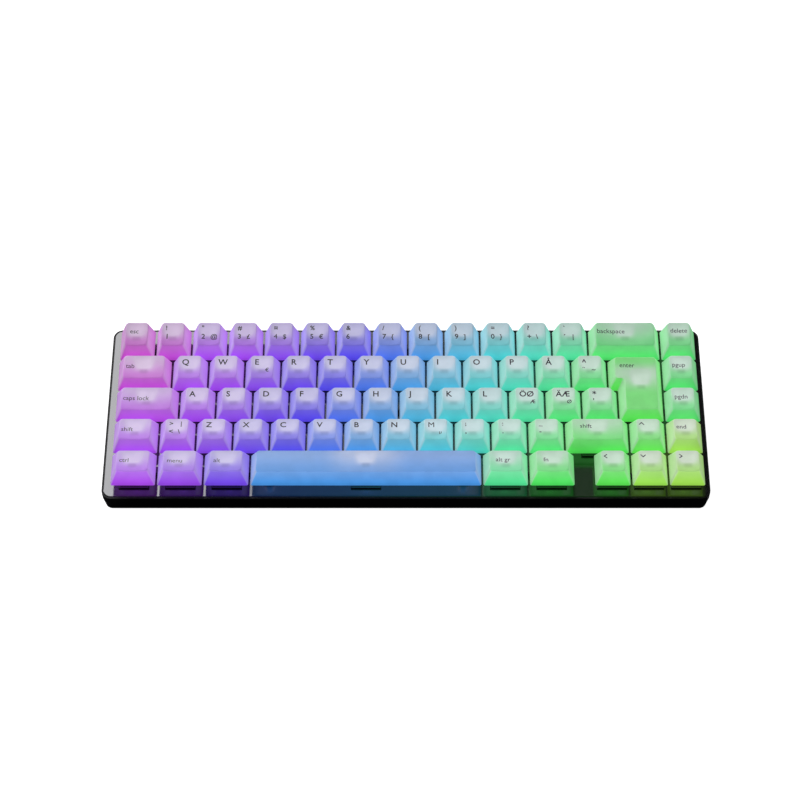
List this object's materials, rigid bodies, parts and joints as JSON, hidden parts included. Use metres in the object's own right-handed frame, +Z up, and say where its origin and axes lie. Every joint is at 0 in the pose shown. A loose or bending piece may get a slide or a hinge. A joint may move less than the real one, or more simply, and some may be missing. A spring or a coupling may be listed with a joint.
{
  "type": "mechanical keyboard",
  "caption": "Compact mechanical keyboard: frosted glowing keycaps float on a black plate over a tapered black wedge case, ISO layout with arrow keys.",
  "frame": {"origin": "point of the desk plane under the middle of the whole keyboard", "axes": "+Z up from the desk; +Y towards the back edge; +X to the right as a typist sees it"},
  "size_m": [0.3124, 0.1034, 0.0387],
  "materials": {
    "frosted_caps": "frosted translucent",
    "black_plate": "satin gloss black",
    "case_plastic": "fine texture",
    "circuit_board": "solder mask",
    "components": "moulded",
    "housing_black": "moulded",
    "housing_clear": "clear moulded",
    "spring_steel": "drawn wire",
    "led": "clear moulded",
    "screw_steel": "black oxide",
    "rubber": "matt"
  },
  "bodies": {
    "case": {"top_plate": "black_plate", "bottom_case": "case_plastic", "circuit_board": "circuit_board", "board_components": "components", "switch_lower_housings": "housing_black", "switch_upper_housings": "housing_clear", "switch_springs": "spring_steel", "key_leds": "led", "stabiliser_housings": "housing_black", "plate_screws": "screw_steel", "rubber_feet": "rubber"},
    "esc_key": {"esc_key": "frosted_caps"},
    "number_row_keys": {"number_row_keys": "frosted_caps"},
    "backspace_key": {"backspace_key": "frosted_caps"},
    "delete_key": {"delete_key": "frosted_caps"},
    "tab_key": {"tab_key": "frosted_caps"},
    "top_letter_row_keys": {"top_letter_row_keys": "frosted_caps"},
    "page_up_key": {"page_up_key": "frosted_caps"},
    "caps_lock_key": {"caps_lock_key": "frosted_caps"},
    "a_key": {"a_key": "frosted_caps"},
    "s_key": {"s_key": "frosted_caps"},
    "d_key": {"d_key": "frosted_caps"},
    "f_key": {"f_key": "frosted_caps"},
    "g_key": {"g_key": "frosted_caps"},
    "h_key": {"h_key": "frosted_caps"},
    "j_key": {"j_key": "frosted_caps"},
    "k_key": {"k_key": "frosted_caps"},
    "l_key": {"l_key": "frosted_caps"},
    "o_slash_key": {"o_slash_key": "frosted_caps"},
    "ae_key": {"ae_key": "frosted_caps"},
    "apostrophe_key": {"apostrophe_key": "frosted_caps"},
    "page_down_key": {"page_down_key": "frosted_caps"},
    "left_shift_key": {"left_shift_key": "frosted_caps"},
    "less_than_key": {"less_than_key": "frosted_caps"},
    "z_key": {"z_key": "frosted_caps"},
    "x_key": {"x_key": "frosted_caps"},
    "c_key": {"c_key": "frosted_caps"},
    "v_key": {"v_key": "frosted_caps"},
    "b_key": {"b_key": "frosted_caps"},
    "n_key": {"n_key": "frosted_caps"},
    "m_key": {"m_key": "frosted_caps"},
    "punctuation_keys": {"punctuation_keys": "frosted_caps"},
    "right_shift_key": {"right_shift_key": "frosted_caps"},
    "up_arrow_key": {"up_arrow_key": "frosted_caps"},
    "end_key": {"end_key": "frosted_caps"},
    "left_ctrl_key": {"left_ctrl_key": "frosted_caps"},
    "menu_key": {"menu_key": "frosted_caps"},
    "alt_key": {"alt_key": "frosted_caps"},
    "space_bar": {"space_bar": "frosted_caps"},
    "alt_gr_key": {"alt_gr_key": "frosted_caps"},
    "fn_key": {"fn_key": "frosted_caps"},
    "left_arrow_key": {"left_arrow_key": "frosted_caps"},
    "down_arrow_key": {"down_arrow_key": "frosted_caps"},
    "right_arrow_key": {"right_arrow_key": "frosted_caps"},
    "enter_key": {"enter_key": "frosted_caps"},
    "backspace_wire": {"backspace_wire": "spring_steel"},
    "space_bar_wire": {"space_bar_wire": "spring_steel"},
    "enter_wire": {"enter_wire": "spring_steel"},
    "left_tilt_foot": {"left_tilt_foot": "case_plastic"},
    "right_tilt_foot": {"right_tilt_foot": "case_plastic"}
  },
  "joints": [
    {"name": "esc_key_press", "type": "slide", "parent": "case", "child": "esc_key", "axis": [0, 0.1045, -0.9945], "range_m": [0, 0.004], "stiffness_N_per_m": 75, "springref_m": -0.004, "deforming": ["switch_springs"]},
    {"name": "number_row_keys_press", "type": "slide", "parent": "case", "child": "number_row_keys", "axis": [0, 0.1045, -0.9945], "range_m": [0, 0.004], "stiffness_N_per_m": 900, "springref_m": -0.004, "deforming": ["switch_springs"]},
    {"name": "backspace_key_press", "type": "slide", "parent": "case", "child": "backspace_key", "axis": [0, 0.1045, -0.9945], "range_m": [0, 0.004], "stiffness_N_per_m": 75, "springref_m": -0.004, "deforming": ["switch_springs"]},
    {"name": "delete_key_press", "type": "slide", "parent": "case", "child": "delete_key", "axis": [0, 0.1045, -0.9945], "range_m": [0, 0.004], "stiffness_N_per_m": 75, "springref_m": -0.004, "deforming": ["switch_springs"]},
    {"name": "tab_key_press", "type": "slide", "parent": "case", "child": "tab_key", "axis": [0, 0.1045, -0.9945], "range_m": [0, 0.004], "stiffness_N_per_m": 75, "springref_m": -0.004, "deforming": ["switch_springs"]},
    {"name": "top_letter_row_keys_press", "type": "slide", "parent": "case", "child": "top_letter_row_keys", "axis": [0, 0.1045, -0.9945], "range_m": [0, 0.004], "stiffness_N_per_m": 900, "springref_m": -0.004, "deforming": ["switch_springs"]},
    {"name": "page_up_key_press", "type": "slide", "parent": "case", "child": "page_up_key", "axis": [0, 0.1045, -0.9945], "range_m": [0, 0.004], "stiffness_N_per_m": 75, "springref_m": -0.004, "deforming": ["switch_springs"]},
    {"name": "caps_lock_key_press", "type": "slide", "parent": "case", "child": "caps_lock_key", "axis": [0, 0.1045, -0.9945], "range_m": [0, 0.004], "stiffness_N_per_m": 75, "springref_m": -0.004, "deforming": ["switch_springs"]},
    {"name": "a_key_press", "type": "slide", "parent": "case", "child": "a_key", "axis": [0, 0.1045, -0.9945], "range_m": [0, 0.004], "stiffness_N_per_m": 75, "springref_m": -0.004, "deforming": ["switch_springs"]},
    {"name": "s_key_press", "type": "slide", "parent": "case", "child": "s_key", "axis": [0, 0.1045, -0.9945], "range_m": [0, 0.004], "stiffness_N_per_m": 75, "springref_m": -0.004, "deforming": ["switch_springs"]},
    {"name": "d_key_press", "type": "slide", "parent": "case", "child": "d_key", "axis": [0, 0.1045, -0.9945], "range_m": [0, 0.004], "stiffness_N_per_m": 75, "springref_m": -0.004, "deforming": ["switch_springs"]},
    {"name": "f_key_press", "type": "slide", "parent": "case", "child": "f_key", "axis": [0, 0.1045, -0.9945], "range_m": [0, 0.004], "stiffness_N_per_m": 75, "springref_m": -0.004, "deforming": ["switch_springs"]},
    {"name": "g_key_press", "type": "slide", "parent": "case", "child": "g_key", "axis": [0, 0.1045, -0.9945], "range_m": [0, 0.004], "stiffness_N_per_m": 75, "springref_m": -0.004, "deforming": ["switch_springs"]},
    {"name": "h_key_press", "type": "slide", "parent": "case", "child": "h_key", "axis": [0, 0.1045, -0.9945], "range_m": [0, 0.004], "stiffness_N_per_m": 75, "springref_m": -0.004, "deforming": ["switch_springs"]},
    {"name": "j_key_press", "type": "slide", "parent": "case", "child": "j_key", "axis": [0, 0.1045, -0.9945], "range_m": [0, 0.004], "stiffness_N_per_m": 75, "springref_m": -0.004, "deforming": ["switch_springs"]},
    {"name": "k_key_press", "type": "slide", "parent": "case", "child": "k_key", "axis": [0, 0.1045, -0.9945], "range_m": [0, 0.004], "stiffness_N_per_m": 75, "springref_m": -0.004, "deforming": ["switch_springs"]},
    {"name": "l_key_press", "type": "slide", "parent": "case", "child": "l_key", "axis": [0, 0.1045, -0.9945], "range_m": [0, 0.004], "stiffness_N_per_m": 75, "springref_m": -0.004, "deforming": ["switch_springs"]},
    {"name": "o_slash_key_press", "type": "slide", "parent": "case", "child": "o_slash_key", "axis": [0, 0.1045, -0.9945], "range_m": [0, 0.004], "stiffness_N_per_m": 75, "springref_m": -0.004, "deforming": ["switch_springs"]},
    {"name": "ae_key_press", "type": "slide", "parent": "case", "child": "ae_key", "axis": [0, 0.1045, -0.9945], "range_m": [0, 0.004], "stiffness_N_per_m": 75, "springref_m": -0.004, "deforming": ["switch_springs"]},
    {"name": "apostrophe_key_press", "type": "slide", "parent": "case", "child": "apostrophe_key", "axis": [0, 0.1045, -0.9945], "range_m": [0, 0.004], "stiffness_N_per_m": 75, "springref_m": -0.004, "deforming": ["switch_springs"]},
    {"name": "page_down_key_press", "type": "slide", "parent": "case", "child": "page_down_key", "axis": [0, 0.1045, -0.9945], "range_m": [0, 0.004], "stiffness_N_per_m": 75, "springref_m": -0.004, "deforming": ["switch_springs"]},
    {"name": "left_shift_key_press", "type": "slide", "parent": "case", "child": "left_shift_key", "axis": [0, 0.1045, -0.9945], "range_m": [0, 0.004], "stiffness_N_per_m": 75, "springref_m": -0.004, "deforming": ["switch_springs"]},
    {"name": "less_than_key_press", "type": "slide", "parent": "case", "child": "less_than_key", "axis": [0, 0.1045, -0.9945], "range_m": [0, 0.004], "stiffness_N_per_m": 75, "springref_m": -0.004, "deforming": ["switch_springs"]},
    {"name": "z_key_press", "type": "slide", "parent": "case", "child": "z_key", "axis": [0, 0.1045, -0.9945], "range_m": [0, 0.004], "stiffness_N_per_m": 75, "springref_m": -0.004, "deforming": ["switch_springs"]},
    {"name": "x_key_press", "type": "slide", "parent": "case", "child": "x_key", "axis": [0, 0.1045, -0.9945], "range_m": [0, 0.004], "stiffness_N_per_m": 75, "springref_m": -0.004, "deforming": ["switch_springs"]},
    {"name": "c_key_press", "type": "slide", "parent": "case", "child": "c_key", "axis": [0, 0.1045, -0.9945], "range_m": [0, 0.004], "stiffness_N_per_m": 75, "springref_m": -0.004, "deforming": ["switch_springs"]},
    {"name": "v_key_press", "type": "slide", "parent": "case", "child": "v_key", "axis": [0, 0.1045, -0.9945], "range_m": [0, 0.004], "stiffness_N_per_m": 75, "springref_m": -0.004, "deforming": ["switch_springs"]},
    {"name": "b_key_press", "type": "slide", "parent": "case", "child": "b_key", "axis": [0, 0.1045, -0.9945], "range_m": [0, 0.004], "stiffness_N_per_m": 75, "springref_m": -0.004, "deforming": ["switch_springs"]},
    {"name": "n_key_press", "type": "slide", "parent": "case", "child": "n_key", "axis": [0, 0.1045, -0.9945], "range_m": [0, 0.004], "stiffness_N_per_m": 75, "springref_m": -0.004, "deforming": ["switch_springs"]},
    {"name": "m_key_press", "type": "slide", "parent": "case", "child": "m_key", "axis": [0, 0.1045, -0.9945], "range_m": [0, 0.004], "stiffness_N_per_m": 75, "springref_m": -0.004, "deforming": ["switch_springs"]},
    {"name": "punctuation_keys_press", "type": "slide", "parent": "case", "child": "punctuation_keys", "axis": [0, 0.1045, -0.9945], "range_m": [0, 0.004], "stiffness_N_per_m": 225, "springref_m": -0.004, "deforming": ["switch_springs"]},
    {"name": "right_shift_key_press", "type": "slide", "parent": "case", "child": "right_shift_key", "axis": [0, 0.1045, -0.9945], "range_m": [0, 0.004], "stiffness_N_per_m": 75, "springref_m": -0.004, "deforming": ["switch_springs"]},
    {"name": "up_arrow_key_press", "type": "slide", "parent": "case", "child": "up_arrow_key", "axis": [0, 0.1045, -0.9945], "range_m": [0, 0.004], "stiffness_N_per_m": 75, "springref_m": -0.004, "deforming": ["switch_springs"]},
    {"name": "end_key_press", "type": "slide", "parent": "case", "child": "end_key", "axis": [0, 0.1045, -0.9945], "range_m": [0, 0.004], "stiffness_N_per_m": 75, "springref_m": -0.004, "deforming": ["switch_springs"]},
    {"name": "left_ctrl_key_press", "type": "slide", "parent": "case", "child": "left_ctrl_key", "axis": [0, 0.1045, -0.9945], "range_m": [0, 0.004], "stiffness_N_per_m": 75, "springref_m": -0.004, "deforming": ["switch_springs"]},
    {"name": "menu_key_press", "type": "slide", "parent": "case", "child": "menu_key", "axis": [0, 0.1045, -0.9945], "range_m": [0, 0.004], "stiffness_N_per_m": 75, "springref_m": -0.004, "deforming": ["switch_springs"]},
    {"name": "alt_key_press", "type": "slide", "parent": "case", "child": "alt_key", "axis": [0, 0.1045, -0.9945], "range_m": [0, 0.004], "stiffness_N_per_m": 75, "springref_m": -0.004, "deforming": ["switch_springs"]},
    {"name": "space_bar_press", "type": "slide", "parent": "case", "child": "space_bar", "axis": [0, 0.1045, -0.9945], "range_m": [0, 0.004], "stiffness_N_per_m": 75, "springref_m": -0.004, "deforming": ["switch_springs"]},
    {"name": "alt_gr_key_press", "type": "slide", "parent": "case", "child": "alt_gr_key", "axis": [0, 0.1045, -0.9945], "range_m": [0, 0.004], "stiffness_N_per_m": 75, "springref_m": -0.004, "deforming": ["switch_springs"]},
    {"name": "fn_key_press", "type": "slide", "parent": "case", "child": "fn_key", "axis": [0, 0.1045, -0.9945], "range_m": [0, 0.004], "stiffness_N_per_m": 75, "springref_m": -0.004, "deforming": ["switch_springs"]},
    {"name": "left_arrow_key_press", "type": "slide", "parent": "case", "child": "left_arrow_key", "axis": [0, 0.1045, -0.9945], "range_m": [0, 0.004], "stiffness_N_per_m": 75, "springref_m": -0.004, "deforming": ["switch_springs"]},
    {"name": "down_arrow_key_press", "type": "slide", "parent": "case", "child": "down_arrow_key", "axis": [0, 0.1045, -0.9945], "range_m": [0, 0.004], "stiffness_N_per_m": 75, "springref_m": -0.004, "deforming": ["switch_springs"]},
    {"name": "right_arrow_key_press", "type": "slide", "parent": "case", "child": "right_arrow_key", "axis": [0, 0.1045, -0.9945], "range_m": [0, 0.004], "stiffness_N_per_m": 75, "springref_m": -0.004, "deforming": ["switch_springs"]},
    {"name": "enter_key_press", "type": "slide", "parent": "case", "child": "enter_key", "axis": [0, 0.1045, -0.9945], "range_m": [0, 0.004], "stiffness_N_per_m": 75, "springref_m": -0.004, "deforming": ["switch_springs"]},
    {"name": "backspace_wire_turn", "type": "hinge", "parent": "case", "child": "backspace_wire", "pos_m": [0.11525, 0.02838, 0.01884], "axis": [1, 0, 0], "range_deg": [-25.68, 0]},
    {"name": "space_bar_wire_turn", "type": "hinge", "parent": "case", "child": "space_bar_wire", "pos_m": [-0.02048, -0.0295, 0.01275], "axis": [1, 0, 0], "range_deg": [0, 25.68]},
    {"name": "enter_wire_turn", "type": "hinge", "parent": "case", "child": "enter_wire", "pos_m": [0.11339, 0.00892, 0.01679], "axis": [0, 0.9945, 0.1045], "range_deg": [0, 25.68]},
    {"name": "left_tilt_foot_fold", "type": "hinge", "parent": "case", "child": "left_tilt_foot", "pos_m": [-0.128, 0.039, 0.003], "axis": [1, 0, 0], "range_deg": [0, 95]},
    {"name": "right_tilt_foot_fold", "type": "hinge", "parent": "case", "child": "right_tilt_foot", "pos_m": [0.128, 0.039, 0.003], "axis": [1, 0, 0], "range_deg": [0, 95]}
  ],
  "couplings": [
    {"joint": "backspace_wire_turn", "follows": "backspace_key_press", "rad_per_m": -112.05},
    {"joint": "space_bar_wire_turn", "follows": "space_bar_press", "rad_per_m": 112.05},
    {"joint": "enter_wire_turn", "follows": "enter_key_press", "rad_per_m": 112.05}
  ]
}
